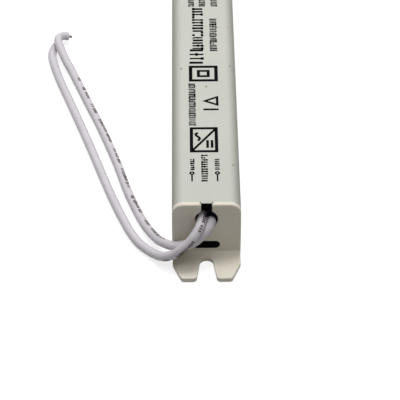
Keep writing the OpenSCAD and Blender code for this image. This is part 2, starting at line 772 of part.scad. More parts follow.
module transformer_core_b() {
    translate([0, 2 * core_y, 0]) mirror([0, 1, 0]) core_half();
}

module transformer_tape() {
    h = core_h - 1.2;
    color([0.88, 0.76, 0.20]) translate([0, core_y, core_z - h / 2]) difference() {
        block([core_w + 2 * tape_t, core_len + 2 * tape_t, h]);
        translate([0, 0, -1]) block([core_w, core_len, h + 2]);
    }
}

module safety_capacitor() {
    color([0.16, 0.36, 0.66]) translate([safety_x, inductor_y, 0]) rotate([0, 0, 90])
        disc_part(0, 0, safety_d, safety_t, pair_x(0, 0, safety_pitch));
}

// Output side

module optocoupler() {
    color([0.90, 0.90, 0.88]) {
        translate([opto_x, opto_y, board_top + 0.1]) block([opto_w, opto_len, opto_t]);
        for (s = [-1, 1], i = [-1, 1]) translate([opto_x, opto_y + i * opto_pitch / 2, 0])
            gull_leg(s * (opto_w / 2 - eps), s * opto_reach, opto_t / 2, 0.6);
    }
}

module output_diode() {
    z = seat_z + diode_d / 2;
    color([0.14, 0.14, 0.15]) {
        translate([diode_x, diode_y, z]) bar_y(diode_d, diode_len);
        for (i = [0, 1]) bent_lead(diode_leads[i], diode_y + (2 * i - 1) * (diode_len / 2 - 0.2), z);
    }
}

module output_inductor() {
    rim = 1.2;
    waist = 0.5;
    color([0.20, 0.20, 0.22]) {
        translate([inductor_x, inductor_y, seat_z]) rotate_extrude() {
            square([inductor_d / 2 - waist, inductor_h]);
            for (z = [0, inductor_h - rim]) translate([0, z]) square([inductor_d / 2, rim]);
        }
        for (p = inductor_leads) lead(p, seat_z + rim);
    }
}

module output_capacitor(x, leads) {
    color([0.14, 0.15, 0.17]) {
        translate([x, output_cap_y, seat_z]) can(output_cap_d, output_cap_h);
        for (p = leads) lead(p, seat_z + 1);
    }
}

module output_capacitor_a() {
    output_capacitor(-output_cap_x, output_cap_leads_a);
}

module output_capacitor_b() {
    output_capacitor(output_cap_x, output_cap_leads_b);
}

// Four chips under the board, below the transformer
module chip_resistors() {
    size = [2, 1.25, 0.5];
    color([0.10, 0.10, 0.10]) for (i = [-1.5:1.5])
        translate([0, core_y + i * 2.4, board_z - size[2]]) block(size);
}

// Input wires

function unit(v) = v / norm(v);
function tangent(p, i) = unit(p[min(i + 1, len(p) - 1)] - p[max(i - 1, 0)]);
// The side direction of ring i, carried along the route without twist
function side(p, i) = i == 0
    ? unit(cross(tangent(p, 0), [0, 1, 0]))
    : let (t = tangent(p, i), n = side(p, i - 1)) unit(n - (n * t) * t);
function ring(p, i, r, sides) = let (n = side(p, i), b = cross(tangent(p, i), n))
    [for (k = [0:sides - 1]) p[i] + r * (cos(360 * k / sides) * n + sin(360 * k / sides) * b)];

// A tube of radius r along the points of a route
module tube_along(p, r) {
    sides = 8;
    rings = len(p);
    polyhedron(
        points = [for (i = [0:rings - 1]) each ring(p, i, r, sides)],
        faces = concat(
            [[for (k = [0:sides - 1]) k]],
            [for (i = [0:rings - 2], k = [0:sides - 1])
                let (a = i * sides + k, b = i * sides + (k + 1) % sides) [a, a + sides, b + sides, b]],
            [[for (k = [sides - 1:-1:0]) (rings - 1) * sides + k]]
        )
    );
}

// The bare conductor beyond the end of a route
module tip_of(p) {
    t = unit(p[len(p) - 1] - p[len(p) - 2]);
    color([0.62, 0.60, 0.56]) translate(p[len(p) - 1]) rotate([0, acos(t[2]), atan2(t[1], t[0])])
        cylinder(d = conductor_d, h = bare_tip);
}

module wire_tails() {
    color([0.75, 0.76, 0.78]) for (p = wire_leads) lead(p, outer_route[0][2]);
}

module outer_input_wire() {
    color([0.82, 0.81, 0.83]) tube_along(outer_route, wire_d / 2);
}

module inner_input_wire() {
    color([0.82, 0.81, 0.83]) tube_along(inner_route, wire_d / 2);
}

module outer_wire_tip() {
    tip_of(outer_route);
}

module inner_wire_tip() {
    tip_of(inner_route);
}

case_profile();
input_end_cap();
output_end_cap();
folded_film();
floor_film();
circuit_board();
solder_joints();
heat_pad();
input_fuse();
inrush_thermistor();
filter_capacitor();
choke_core();
choke_coils();
bridge_rectifier();
bulk_capacitor();
switch_transistor();
controller_chip();
snubber_resistor();
snubber_capacitor();
transformer_bobbin();
transformer_winding();
transformer_core_a();
transformer_core_b();
transformer_tape();
safety_capacitor();
optocoupler();
output_diode();
output_inductor();
output_capacitor_a();
output_capacitor_b();
chip_resistors();
wire_tails();
outer_input_wire();
inner_input_wire();
outer_wire_tip();
inner_wire_tip();
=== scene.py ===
# %% [markdown]
# # A slim power supply, dressed in Blender
# The real object is a slim aluminium tube with a moulded cap at each end and two insulated wires that
# come out of one cap. The exact solids come from CAD. Blender gives them rounded edges, finishes, print
# and light. Every piece is made in the CAD frame, so nothing has to be fitted by eye.

# %% Load the frame
import bpy
import bmesh
import math
import numpy as np
from mathutils import Matrix, Vector


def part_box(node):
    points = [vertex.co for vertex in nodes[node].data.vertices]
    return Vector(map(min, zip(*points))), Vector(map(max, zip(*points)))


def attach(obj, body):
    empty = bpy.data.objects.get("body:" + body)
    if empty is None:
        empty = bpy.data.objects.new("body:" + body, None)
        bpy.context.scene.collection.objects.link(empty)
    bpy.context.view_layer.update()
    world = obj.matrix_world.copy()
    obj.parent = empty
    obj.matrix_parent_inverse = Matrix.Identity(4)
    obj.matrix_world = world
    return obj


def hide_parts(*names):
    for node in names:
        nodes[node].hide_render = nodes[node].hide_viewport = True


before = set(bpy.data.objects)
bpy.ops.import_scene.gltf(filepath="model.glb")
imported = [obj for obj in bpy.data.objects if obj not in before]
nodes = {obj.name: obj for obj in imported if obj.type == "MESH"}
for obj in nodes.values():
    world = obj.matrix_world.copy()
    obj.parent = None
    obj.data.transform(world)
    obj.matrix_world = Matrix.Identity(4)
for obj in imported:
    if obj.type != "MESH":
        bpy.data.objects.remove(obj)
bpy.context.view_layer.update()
MM = 0.001

# %% [markdown]
# ## The camera
# A photograph fixes its own camera. The long edges of the tube run towards one vanishing point, and
# that point, with the known width of the tube, gives the place, the direction and the focal length used
# here. The camera comes first, because what it sees decides how finely each piece has to be made.

# %% Objects in the scene
def add_object(name, data):
    """A new object with this data, in the scene."""
    made = bpy.data.objects.new(name, data)
    bpy.context.scene.collection.objects.link(made)
    return made


# %% Camera at the photograph's angle
SENSOR_MM = 36
FRAME_PX = 400
FOCAL_PX = 1764.76
camera_place = Vector((-5.400, -413.526, 324.203)) * MM
camera_forward = Vector((0.008136, 0.743100, -0.669131))

camera_data = bpy.data.cameras.new("photo_camera")
camera_data.sensor_width = SENSOR_MM
camera_data.lens = SENSOR_MM * FOCAL_PX / FRAME_PX
camera_data.clip_start = 10 * MM
camera = add_object("photo_camera", camera_data)
camera.location = camera_place
camera.rotation_mode = "QUATERNION"
camera.rotation_quaternion = camera_forward.to_track_quat("-Z", "Y")
bpy.context.scene.camera = camera
print("lens in mm:", round(camera_data.lens, 2))

# %% [markdown]
# ## Helpers for node graphs
# Geometry Nodes and shader nodes are built the same way: nodes are added, and links join their sockets.
# One small class does both. An input that is given another node's socket is linked, and any other value
# is set.

# %% A small graph builder
class Graph:
    """Adds nodes to a tree and links their sockets."""

    def __init__(self, tree):
        self.tree = tree

    def add(self, kind, inputs=None, **settings):
        node = self.tree.nodes.new(kind)
        for key, value in settings.items():
            setattr(node, key, value)
        for key, value in (inputs or {}).items():
            if isinstance(value, bpy.types.NodeSocket):
                self.tree.links.new(value, node.inputs[key])
            else:
                node.inputs[key].default_value = value
        return node

    def math(self, operation, a, b=0.0):
        return self.add("ShaderNodeMath", {0: a, 1: b}, operation=operation).outputs[0]


def live(sockets):
    """The socket in use, of several that share a name."""
    return next(s for s in sockets if s.enabled)


def blank_graph(owner):
    """The emptied shader graph of a material or a world."""
    owner.use_nodes = True
    owner.node_tree.nodes.clear()
    return Graph(owner.node_tree)


def group_tree(name, kind, inputs, outputs):
    """A new node group with these sockets, as its graph, its entry and its exit."""
    tree = bpy.data.node_groups.new(name, kind)
    for label, socket_type, default in inputs:
        socket = tree.interface.new_socket(name=label, in_out="INPUT", socket_type=socket_type)
        if default is not None:
            socket.default_value = default
    for label, socket_type in outputs:
        tree.interface.new_socket(name=label, in_out="OUTPUT", socket_type=socket_type)
    graph = Graph(tree)
    entry = graph.add("NodeGroupInput")
    leave = graph.add("NodeGroupOutput")
    return graph, entry, leave


# %% [markdown]
# ## Shader groups for grain, drifting tone and dust
# A real surface is never one flat colour. Moulded plastic and blasted aluminium have a fine grain that
# breaks up the light, their tone drifts a little over a few centimetres, and a few dark specks lie on
# them. Each of these is a node group, built once, and each material places it with its own values.

# %% Grain, tone drift and specks
def make_grain():
    """The height of a fine and a coarse grain, mixed."""
    inputs = [("Vector", "NodeSocketVector", None), ("Fine", "NodeSocketFloat", 3000.0),
              ("Coarse", "NodeSocketFloat", 700.0), ("Coarse Share", "NodeSocketFloat", 0.4)]
    g, entry, leave = group_tree("grain", "ShaderNodeTree", inputs, [("Height", "NodeSocketFloat")])
    place = entry.outputs["Vector"]
    fine = g.add("ShaderNodeTexNoise", {"Vector": place, "Scale": entry.outputs["Fine"], "Detail": 2.0})
    coarse = g.add("ShaderNodeTexNoise", {"Vector": place, "Scale": entry.outputs["Coarse"],
                                          "Detail": 1.0})
    mixed = g.add("ShaderNodeMix", {0: entry.outputs["Coarse Share"], 2: fine.outputs[0],
                                    3: coarse.outputs[0]}, data_type="FLOAT")
    g.tree.links.new(mixed.outputs[0], leave.inputs["Height"])
    return g.tree


def make_tone_drift():
    """A colour that drifts to another one in wide patches."""
    inputs = [("Vector", "NodeSocketVector", None), ("Colour", "NodeSocketColor", (0.8, 0.8, 0.8, 1)),
              ("Other Colour", "NodeSocketColor", (0.7, 0.7, 0.7, 1)), ("Scale", "NodeSocketFloat", 60.0)]
    g, entry, leave = group_tree("tone_drift", "ShaderNodeTree", inputs, [("Colour", "NodeSocketColor")])
    wide = g.add("ShaderNodeTexNoise", {"Vector": entry.outputs["Vector"], "Scale": entry.outputs["Scale"],
                                        "Detail": 3.0, "Roughness": 0.6})
    share = g.add("ShaderNodeMapRange", {0: wide.outputs[0], 1: 0.3, 2: 0.7, 3: 0.0, 4: 1.0})
    mixed = g.add("ShaderNodeMix", {0: share.outputs[0], 6: entry.outputs["Colour"],
                                    7: entry.outputs["Other Colour"]}, data_type="RGBA")
    g.tree.links.new(live(mixed.outputs), leave.inputs["Colour"])
    return g.tree


def make_specks():
    """A mask of small round specks, one in some of the cells."""
    inputs = [("Vector", "NodeSocketVector", None), ("Scale", "NodeSocketFloat", 300.0),
              ("Size", "NodeSocketFloat", 0.16), ("Share", "NodeSocketFloat", 0.15)]
    g, entry, leave = group_tree("specks", "ShaderNodeTree", inputs, [("Mask", "NodeSocketFloat")])
    cells = g.add("ShaderNodeTexVoronoi", {"Vector": entry.outputs["Vector"],
                                           "Scale": entry.outputs["Scale"]})
    chance = g.add("ShaderNodeSeparateColor", {0: cells.outputs["Color"]})
    small = g.add("ShaderNodeMapRange", {0: cells.outputs["Distance"],
                                         1: g.math("MULTIPLY", entry.outputs["Size"], 0.4),
                                         2: entry.outputs["Size"], 3: 1.0, 4: 0.0}).outputs[0]
    chosen = g.math("LESS_THAN", chance.outputs[0], entry.outputs["Share"])
    g.tree.links.new(g.math("MULTIPLY", small, chosen), leave.inputs["Mask"])
    return g.tree


GRAIN = make_grain()
TONE_DRIFT = make_tone_drift()
SPECKS = make_specks()
print("shader groups:", GRAIN.name, TONE_DRIFT.name, SPECKS.name)

# %% [markdown]
# ## One recipe for every finish
# Plastic, lacquer, ceramic and metal differ in a few numbers: two colours that the tone drifts between,
# the roughness, how metallic they are, and how deep and fine the grain is. So one function builds a
# material from these, and each finish below is one call. The recipe can also blend in a second, darker
# colour over a range of x and z in millimetres: painted shade, which makes the rounded long edges and the
# upper sides of the tube look as if less light fell there. Numbers that are the same all over sit on the
# shader's own sockets.

# %% The finish recipe
def srgb(r, g, b):
    """A screen colour from 0 to 255, as Blender's linear colour."""
    def linear(v):
        v = v / 255
        return v / 12.92 if v <= 0.04045 else ((v + 0.055) / 1.055) ** 2.4
    return (linear(r), linear(g), linear(b), 1.0)


def finish(name, colour, other=None, rough=0.5, metallic=0.0, bump=0.1, depth_mm=0.02, fine=3.0,
           coarse=0.7, drift=60.0, speck_colour=None, speck_share=0.15, coat=0.0, gloss=0.5,
           painted_edge_shade=None):
    """A material. Fine and coarse count the grain per mm, and drift counts the patches per metre."""
    material = bpy.data.materials.new(name)
    g = blank_graph(material)
    place = g.add("ShaderNodeTexCoord").outputs["Object"]
    tone = g.add("ShaderNodeGroup", node_tree=TONE_DRIFT)
    g.tree.links.new(place, tone.inputs["Vector"])
    tone.inputs["Colour"].default_value = srgb(*colour)
    tone.inputs["Other Colour"].default_value = srgb(*(other or colour))
    tone.inputs["Scale"].default_value = drift
    base = tone.outputs["Colour"]
    # Painted shade: a darker colour blended in where |x| and z fall in the given ranges, in mm.
    if painted_edge_shade:
        x_range, z_range, painted_shade_colour = painted_edge_shade
        axes = g.add("ShaderNodeSeparateXYZ", {0: place}).outputs

        def ramp(value, start, end):
            return g.add("ShaderNodeMapRange", {0: value, 1: start * MM, 2: end * MM, 3: 0.0, 4: 1.0},
                         interpolation_type="SMOOTHSTEP").outputs[0]

        mask = g.math("MULTIPLY", ramp(g.math("ABSOLUTE", axes["X"]), *x_range), ramp(axes["Z"], *z_range))
        base = live(g.add("ShaderNodeMix", {0: mask, 6: base, 7: srgb(*painted_shade_colour)},
                          data_type="RGBA").outputs)
    if speck_colour:
        specks = g.add("ShaderNodeGroup", node_tree=SPECKS)
        g.tree.links.new(place, specks.inputs["Vector"])
        specks.inputs["Share"].default_value = speck_share
        base = live(g.add("ShaderNodeMix", {0: specks.outputs["Mask"], 6: base, 7: srgb(*speck_colour)},
                          data_type="RGBA").outputs)
    grain = g.add("ShaderNodeGroup", node_tree=GRAIN)
    g.tree.links.new(place, grain.inputs["Vector"])
    grain.inputs["Fine"].default_value = fine / MM
    grain.inputs["Coarse"].default_value = coarse / MM
    bumped = g.add("ShaderNodeBump", {"Strength": bump, "Distance": depth_mm * MM,
                                      "Height": grain.outputs["Height"]})
    shader = g.add("ShaderNodeBsdfPrincipled", {
        "Base Color": base, "Roughness": rough, "Metallic": metallic, "Normal": bumped.outputs["Normal"],
        "Specular IOR Level": gloss, "Coat Weight": coat, "Coat Roughness": 0.15})
    g.add("ShaderNodeOutputMaterial", {"Surface": shader.outputs[0]})
    return material


# %% [markdown]
# ## The finishes of the outside
# The tube is aluminium with a matte anodised finish, slightly warm and green. The caps are warm white
# ABS, and the wires are white PVC with a cool, faintly lilac cast. The print is black ink.

# %% Outside finishes
# The case's last argument is painted shade: a darker colour over the rounded long edges and the upper part
# of the sides.
case_finish = finish("matte_anodised_case", (207, 207, 199), (202, 203, 194), rough=0.6, bump=0.25,
                     depth_mm=0.01, fine=6.0, coarse=2.0, drift=45.0, speck_colour=(150, 149, 138),
                     speck_share=0.25, gloss=0.1, painted_edge_shade=((6.1, 9.4), (5.0, 14.5), (168, 168, 158)))
cap_finish = finish("warm_white_moulding", (234, 227, 213), (229, 223, 206), rough=0.5, bump=0.2,
                    depth_mm=0.01, fine=5.0, coarse=1.2, drift=90.0, speck_colour=(170, 160, 142),
                    speck_share=0.08, gloss=0.3)
wire_finish = finish("white_wire_jacket", (216, 211, 217), (210, 205, 211), rough=0.42, bump=0.12,
                     depth_mm=0.01, fine=3.0, coarse=0.6, drift=140.0, gloss=0.4)
ink_finish = finish("black_ink", (3, 3, 4), (8, 8, 9), rough=0.7, bump=0.1, depth_mm=0.005, fine=8.0,
                    gloss=0.03)
wire_ink_finish = finish("grey_wire_ink", (66, 52, 54), (96, 80, 80), rough=0.55, bump=0.1, depth_mm=0.005,
                         fine=8.0, drift=900.0, gloss=0.2)
strand_finish = finish("tinned_strands", (150, 146, 138), (96, 90, 82), rough=0.35, metallic=0.9, bump=0.1,
                       fine=5.0, drift=500.0)
print("outside finishes:", len(bpy.data.materials))

# %% [markdown]
# ## The two wires
# Each wire starts on the circuit board, climbs to the hole in the cap, hangs down to the left and lies
# along the table. In CAD they are coarse tubes through a list of points. Here the same points carry a
# smooth spline, which a curve object turns into a round jacket. A curve keeps its own centre line, so
# its real length can be measured.

# %% Routes of the wires, in millimetres
WIRE_D = 2.5
outer_route = [
    (-1.9, -60.7, 5.9), (-1.9, -60.7, 8), (-1.85, -61.6, 10.8), (-1.8, -63.8, 12.7),
    (-1.6, -66.8, 13.5), (-1.4, -70, 13.6), (-1.2, -73.2, 13.6), (-1.2, -75.4, 13.4),
    (-1.8, -77.85, 12.6), (-3.3, -79.8, 10.9), (-4.95, -80.7, 9.1), (-6.75, -81, 7.35),
    (-8.5, -80.5, 5.35), (-10.75, -79.6, 3.75), (-12.75, -77.6, 2.1), (-15.15, -75, 1.35),
    (-17.8, -72, 1.25), (-20.15, -67.8, 1.25), (-22.4, -62.3, 1.25), (-24.5, -56.6, 1.25),
    (-27.4, -47.8, 1.25), (-30.3, -38.4, 1.25), (-33.4, -28.5, 1.25), (-36.6, -18.7, 1.25),
    (-39.75, -9.2, 1.25), (-42.4, -1.2, 1.25), (-44.5, 6.5, 1.25), (-45.2, 10.5, 1.25), (-45, 13, 1.25),
    (-44.4, 15.2, 1.25)]
inner_route = [
    (1.9, -60.7, 5.9), (1.9, -60.7, 8), (1.85, -61.6, 10.8), (1.75, -63.8, 12.6), (1.6, -66.8, 13.2),
    (1.5, -70, 13.3), (1.4, -73.2, 13), (1.25, -75.4, 12.4), (0.3, -77.05, 11.05),
    (-1.55, -78.25, 9.35), (-3.6, -78.7, 7.7), (-6.1, -78.4, 6.6), (-8.5, -77.8, 5.75),
    (-10, -76.9, 5.35), (-11.5, -75.3, 4.7), (-12.9, -73, 3.65), (-15.35, -67.6, 2.05),
    (-17.45, -62.4, 1.25), (-19.2, -57.6, 1.25), (-21.2, -51.6, 1.25), (-24.2, -40.5, 1.25),
    (-27.2, -30.7, 1.25), (-30.3, -21.4, 1.25), (-33.7, -12, 1.25), (-37.2, -2.1, 1.25),
    (-38.9, 2.4, 1.55), (-40.6, 6, 2.35), (-42.1, 9.6, 3.35), (-43.1, 12.6, 3.85), (-43.5, 14.9, 3.75),
    (-43.2, 16.9, 3.25), (-42.2, 18.3, 2.75), (-40.8, 18.9, 2.15)]


def smooth_path(route, step_mm=0.5):
    """Points of a centripetal Catmull-Rom spline through the route, in metres."""
    p = np.array(route, float)
    p = np.vstack([2 * p[0] - p[1], p, 2 * p[-1] - p[-2]])
    path = []
    for a, b, c, d in zip(p[:-3], p[1:-2], p[2:-1], p[3:]):
        t1 = np.linalg.norm(b - a) ** 0.5
        t2 = t1 + np.linalg.norm(c - b) ** 0.5
        t3 = t2 + np.linalg.norm(d - c) ** 0.5
        for t in np.linspace(t1, t2, max(int(np.linalg.norm(c - b) / step_mm), 2), endpoint=False):
            ab = (a * (t1 - t) + b * t) / t1
            bc = (b * (t2 - t) + c * (t - t1)) / (t2 - t1)
            cd = (c * (t3 - t) + d * (t - t2)) / (t3 - t2)
            abc = (ab * (t2 - t) + bc * t) / t2
            bcd = (bc * (t3 - t) + cd * (t - t1)) / (t3 - t1)
            path.append((abc * (t2 - t) + bcd * (t - t1)) / (t2 - t1))
    path.append(p[-2])
    path = np.array(path)
    path[:, 2] = np.maximum(path[:, 2], WIRE_D / 2)
    return path * MM


def length_of(path):
    """Length of a path in metres."""
    return float(np.linalg.norm(np.diff(path, axis=0), axis=1).sum())


outer_path = smooth_path(outer_route)
inner_path = smooth_path(inner_route)
print("wire lengths in mm:", round(length_of(outer_path) / MM, 1), round(length_of(inner_path) / MM, 1))


# %% Jackets of the wires
def wire_curve(name, path):
    """A round jacket along a path, closed at both ends."""
    data = bpy.data.curves.new(name, "CURVE")
    data.dimensions = "3D"
    data.bevel_depth = WIRE_D / 2 * MM
    data.bevel_resolution = 6
    data.use_fill_caps = True
    spline = data.splines.new("POLY")
    spline.points.add(len(path) - 1)
    for point, place in zip(spline.points, path):
        point.co = (*place, 1)
    spline.use_smooth = True
    data.materials.append(wire_finish)
    return add_object(name, data)


outer_wire = wire_curve("outer_wire_jacket", outer_path)
inner_wire = wire_curve("inner_wire_jacket", inner_path)
print("jackets:", outer_wire.name, inner_wire.name, "diameter in mm:", WIRE_D)

# %% [markdown]
# ## Bare strands at the free ends
# The jacket is cut a little short, so the conductor shows. It is seven thin strands with a slight
# twist: one in the middle and six round it. Geometry Nodes follow that rule: a spiral for one outer
# strand, six copies of it turned about the axis, and a straight strand in the middle. Sizes are inputs,
# so another wire is one call away.

# %% Strand tree
def plain_mesh(holder, name):
    """The evaluated geometry of an object as a new object with a plain mesh."""
    shown = holder.evaluated_get(bpy.context.evaluated_depsgraph_get())
    made = add_object(name, bpy.data.meshes.new_from_object(shown))
    bpy.data.objects.remove(holder)
    return made


def grown(name, tree, values, mesh=None):
    """Runs a Geometry Nodes tree on a mesh and returns the result as a plain object."""
    holder = add_object("holder", mesh or bpy.data.meshes.new("holder"))
    modifier = holder.modifiers.new("grow", "NODES")
    modifier.node_group = tree
    for item in tree.interface.items_tree:
        if item.in_out == "INPUT" and item.name in values:
            modifier[item.identifier] = values[item.name]
    return plain_mesh(holder, name)


OUTER_STRANDS = 6


def make_strand_tree():
    """A tree that twists strands round a straight one."""
    inputs = [("Geometry", "NodeSocketGeometry", None), ("Length", "NodeSocketFloat", 0.001),
              ("Strand Radius", "NodeSocketFloat", 0.0001), ("Turns", "NodeSocketFloat", 0.3),
              ("Material", "NodeSocketMaterial", None)]
    g, entry, leave = group_tree("twisted_strands", "GeometryNodeTree", inputs,
                                 [("Geometry", "NodeSocketGeometry")])
    radius = entry.outputs["Strand Radius"]
    ring_radius = g.math("MULTIPLY", radius, 2.0)
    spiral = g.add("GeometryNodeCurveSpiral", {"Resolution": 40, "Rotations": entry.outputs["Turns"],
                                               "Start Radius": ring_radius, "End Radius": ring_radius,
                                               "Height": entry.outputs["Length"]})
    around = g.add("GeometryNodeMeshLine", {"Count": OUTER_STRANDS}, mode="OFFSET")
    index = g.add("GeometryNodeInputIndex").outputs[0]
    angle = g.math("MULTIPLY", index, math.tau / OUTER_STRANDS)
    turn = g.add("ShaderNodeCombineXYZ", {"Z": angle})
    around.inputs["Offset"].default_value = (0, 0, 0)
    copies = g.add("GeometryNodeInstanceOnPoints", {
        "Points": around.outputs[0], "Instance": spiral.outputs[0], "Rotation": turn.outputs[0]})
    top = g.add("ShaderNodeCombineXYZ", {"Z": entry.outputs["Length"]})
    middle = g.add("GeometryNodeCurvePrimitiveLine", {"Start": (0, 0, 0), "End": top.outputs[0]})
    joined = g.add("GeometryNodeJoinGeometry")
    g.tree.links.new(copies.outputs[0], joined.inputs[0])
    g.tree.links.new(middle.outputs[0], joined.inputs[0])
    real = g.add("GeometryNodeRealizeInstances", {"Geometry": joined.outputs[0]})
    ring = g.add("GeometryNodeCurvePrimitiveCircle", {"Resolution": 10, "Radius": radius})
    tubes = g.add("GeometryNodeCurveToMesh", {"Curve": real.outputs[0], "Profile Curve": ring.outputs[0],
                                              "Fill Caps": True})
    coloured = g.add("GeometryNodeSetMaterial", {"Geometry": tubes.outputs[0],
                                                 "Material": entry.outputs["Material"]})
    g.tree.links.new(coloured.outputs[0], leave.inputs[0])
    return g.tree


STRANDS = make_strand_tree()
print("strand tree:", STRANDS.name, "nodes:", len(STRANDS.nodes))

# %% Strands at both free ends
BARE_LENGTH = 1.2
STRAND_R = 0.133
STRAND_TURNS = 0.25


def bare_strands(name, path, node):
    """Bare strands that go on from the end of a path."""
    made = grown(name, STRANDS, {"Length": BARE_LENGTH * MM, "Strand Radius": STRAND_R * MM,
                                 "Turns": STRAND_TURNS, "Material": strand_finish})
    end = Vector(path[-1])
    along = Vector(path[-1] - path[-2]).normalized()
    made.data.transform(Matrix.Translation(end) @ along.to_track_quat("Z", "Y").to_matrix().to_4x4())
    tip_box = [round(v / MM, 1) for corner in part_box(node) for v in corner]
    print(name, "faces:", len(made.data.polygons), "box of the CAD tip in mm:", tip_box)
    return made


outer_strands = bare_strands("outer_bare_strands", outer_path, "outer_wire_tip")
inner_strands = bare_strands("inner_bare_strands", inner_path, "inner_wire_tip")

# %% [markdown]
# ## Print that is made of small strokes
# Ink on the case and on the wires is a row of thin strokes that say nothing. A tree walks along a line,
# leaves out a stroke here and there, and gives each stroke its own width and height. The line carries
# the direction that faces out of the surface, so the same tree prints on a flat case and round a bent
# wire.

# %% Stroke tree
WIDTH_SEED, HEIGHT_SEED, KEPT_SEED = 11, 23, 37


def make_stroke_tree():
    """A tree that sets strokes along lines and gives each its own width and height."""
    inputs = [("Geometry", "NodeSocketGeometry", None), ("Spacing", "NodeSocketFloat", 0.0005),
              ("Stroke Width", "NodeSocketFloat", 0.0002), ("Stroke Height", "NodeSocketFloat", 0.001),
              ("Thickness", "NodeSocketFloat", 0.00004), ("Least Share", "NodeSocketFloat", 0.4),
              ("Kept Share", "NodeSocketFloat", 0.85), ("Seed", "NodeSocketInt", 1),
              ("Material", "NodeSocketMaterial", None)]
    g, entry, leave = group_tree("printed_strokes", "GeometryNodeTree", inputs,
                                 [("Geometry", "NodeSocketGeometry")])
    value = entry.outputs
    curve = g.add("GeometryNodeMeshToCurve", {"Mesh": value["Geometry"]})
    steps = g.add("GeometryNodeResampleCurve", {"Curve": curve.outputs[0]}, mode="LENGTH")
    g.tree.links.new(value["Spacing"], steps.inputs["Length"])
    tangent = g.add("GeometryNodeInputTangent").outputs[0]
    outward = g.add("GeometryNodeInputNamedAttribute", {"Name": "outward"}, data_type="FLOAT_VECTOR")
    lie = g.add("FunctionNodeAlignRotationToVector", {"Vector": tangent}, axis="X")
    face = g.add("FunctionNodeAlignRotationToVector", {
        "Rotation": lie.outputs[0], "Vector": live(outward.outputs)}, axis="Z", pivot_axis="X")

    def random(low, high, offset):
        seed = g.math("ADD", value["Seed"], float(offset))
        node = g.add("FunctionNodeRandomValue", {2: low, 3: high, "Seed": seed}, data_type="FLOAT")
        return live(node.outputs)

    width = g.math("MULTIPLY", value["Stroke Width"], random(0.75, 1.3, WIDTH_SEED))
    height = g.math("MULTIPLY", value["Stroke Height"], random(value["Least Share"], 1.0, HEIGHT_SEED))
    size = g.add("ShaderNodeCombineXYZ", {"X": width, "Y": height, "Z": value["Thickness"]})
    kept = g.math("LESS_THAN", random(0.0, 1.0, KEPT_SEED), value["Kept Share"])
    bar = g.add("GeometryNodeMeshCube", {"Size": (1, 1, 1)})
    strokes = g.add("GeometryNodeInstanceOnPoints", {
        "Points": steps.outputs[0], "Selection": kept, "Instance": bar.outputs[0],
        "Rotation": face.outputs[0], "Scale": size.outputs[0]})
    real = g.add("GeometryNodeRealizeInstances", {"Geometry": strokes.outputs[0]})
    inked = g.add("GeometryNodeSetMaterial", {"Geometry": real.outputs[0], "Material": value["Material"]})
    g.tree.links.new(inked.outputs[0], leave.inputs[0])
    return g.tree


STROKES = make_stroke_tree()
print("stroke tree:", STROKES.name, "nodes:", len(STROKES.nodes))


# %% Strokes along lines
def line_mesh(lines):
    """A mesh of open lines. Each line is a list of (place, outward) in metres."""
    mesh = bpy.data.meshes.new("print_line")
    places, outwards, edges = [], [], []
    for line in lines:
        edges += [(len(places) + i, len(places) + i + 1) for i in range(len(line) - 1)]
        places += [tuple(p) for p, _ in line]
        outwards += [tuple(n) for _, n in line]
    mesh.from_pydata(places, edges, [])
    facing = mesh.attributes.new("outward", "FLOAT_VECTOR", "POINT")
    facing.data.foreach_set("vector", np.array(outwards, np.float32).ravel())
    return mesh


def strokes_on(name, lines, ink, spacing, width, height, seed, kept=0.85, least=0.4, thickness=0.04):
    """Strokes along open lines, with their sizes in mm."""
    values = {"Spacing": spacing * MM, "Stroke Width": width * MM, "Stroke Height": height * MM,
              "Thickness": thickness * MM, "Kept Share": kept, "Least Share": least, "Seed": seed,
              "Material": ink}
    return grown(name, STROKES, values, line_mesh(lines))


# %% Print on the wires
TOWARDS_VIEW = Vector((0.0, -0.743, 0.669))
INK_SUNK_MM = 0.005
LINE_STEP_MM = 0.25


def lines_on_wire(path, spans, turns):
    """Lines on the jacket for spans in mm along the wire.

    Turns are (length, degrees), measured from the side that faces the viewer.
    """
    run = np.concatenate([[0], np.cumsum(np.linalg.norm(np.diff(path, axis=0), axis=1))]) / MM
    lines = []
    for start, end in spans:
        line = []
        for s in np.arange(start, end + 0.01, LINE_STEP_MM):
            i = int(np.searchsorted(run, s))
            angle = math.radians(np.interp(s, *zip(*turns)))
            along = Vector(path[min(i + 2, len(path) - 1)] - path[max(i - 2, 0)]).normalized()
            facing = (TOWARDS_VIEW - along * TOWARDS_VIEW.dot(along)).normalized()
            out = facing * math.cos(angle) + along.cross(facing) * math.sin(angle)
            line.append((Vector(path[i]) + out * (WIRE_D / 2 - INK_SUNK_MM) * MM, out))
        lines.append(line)
    return lines


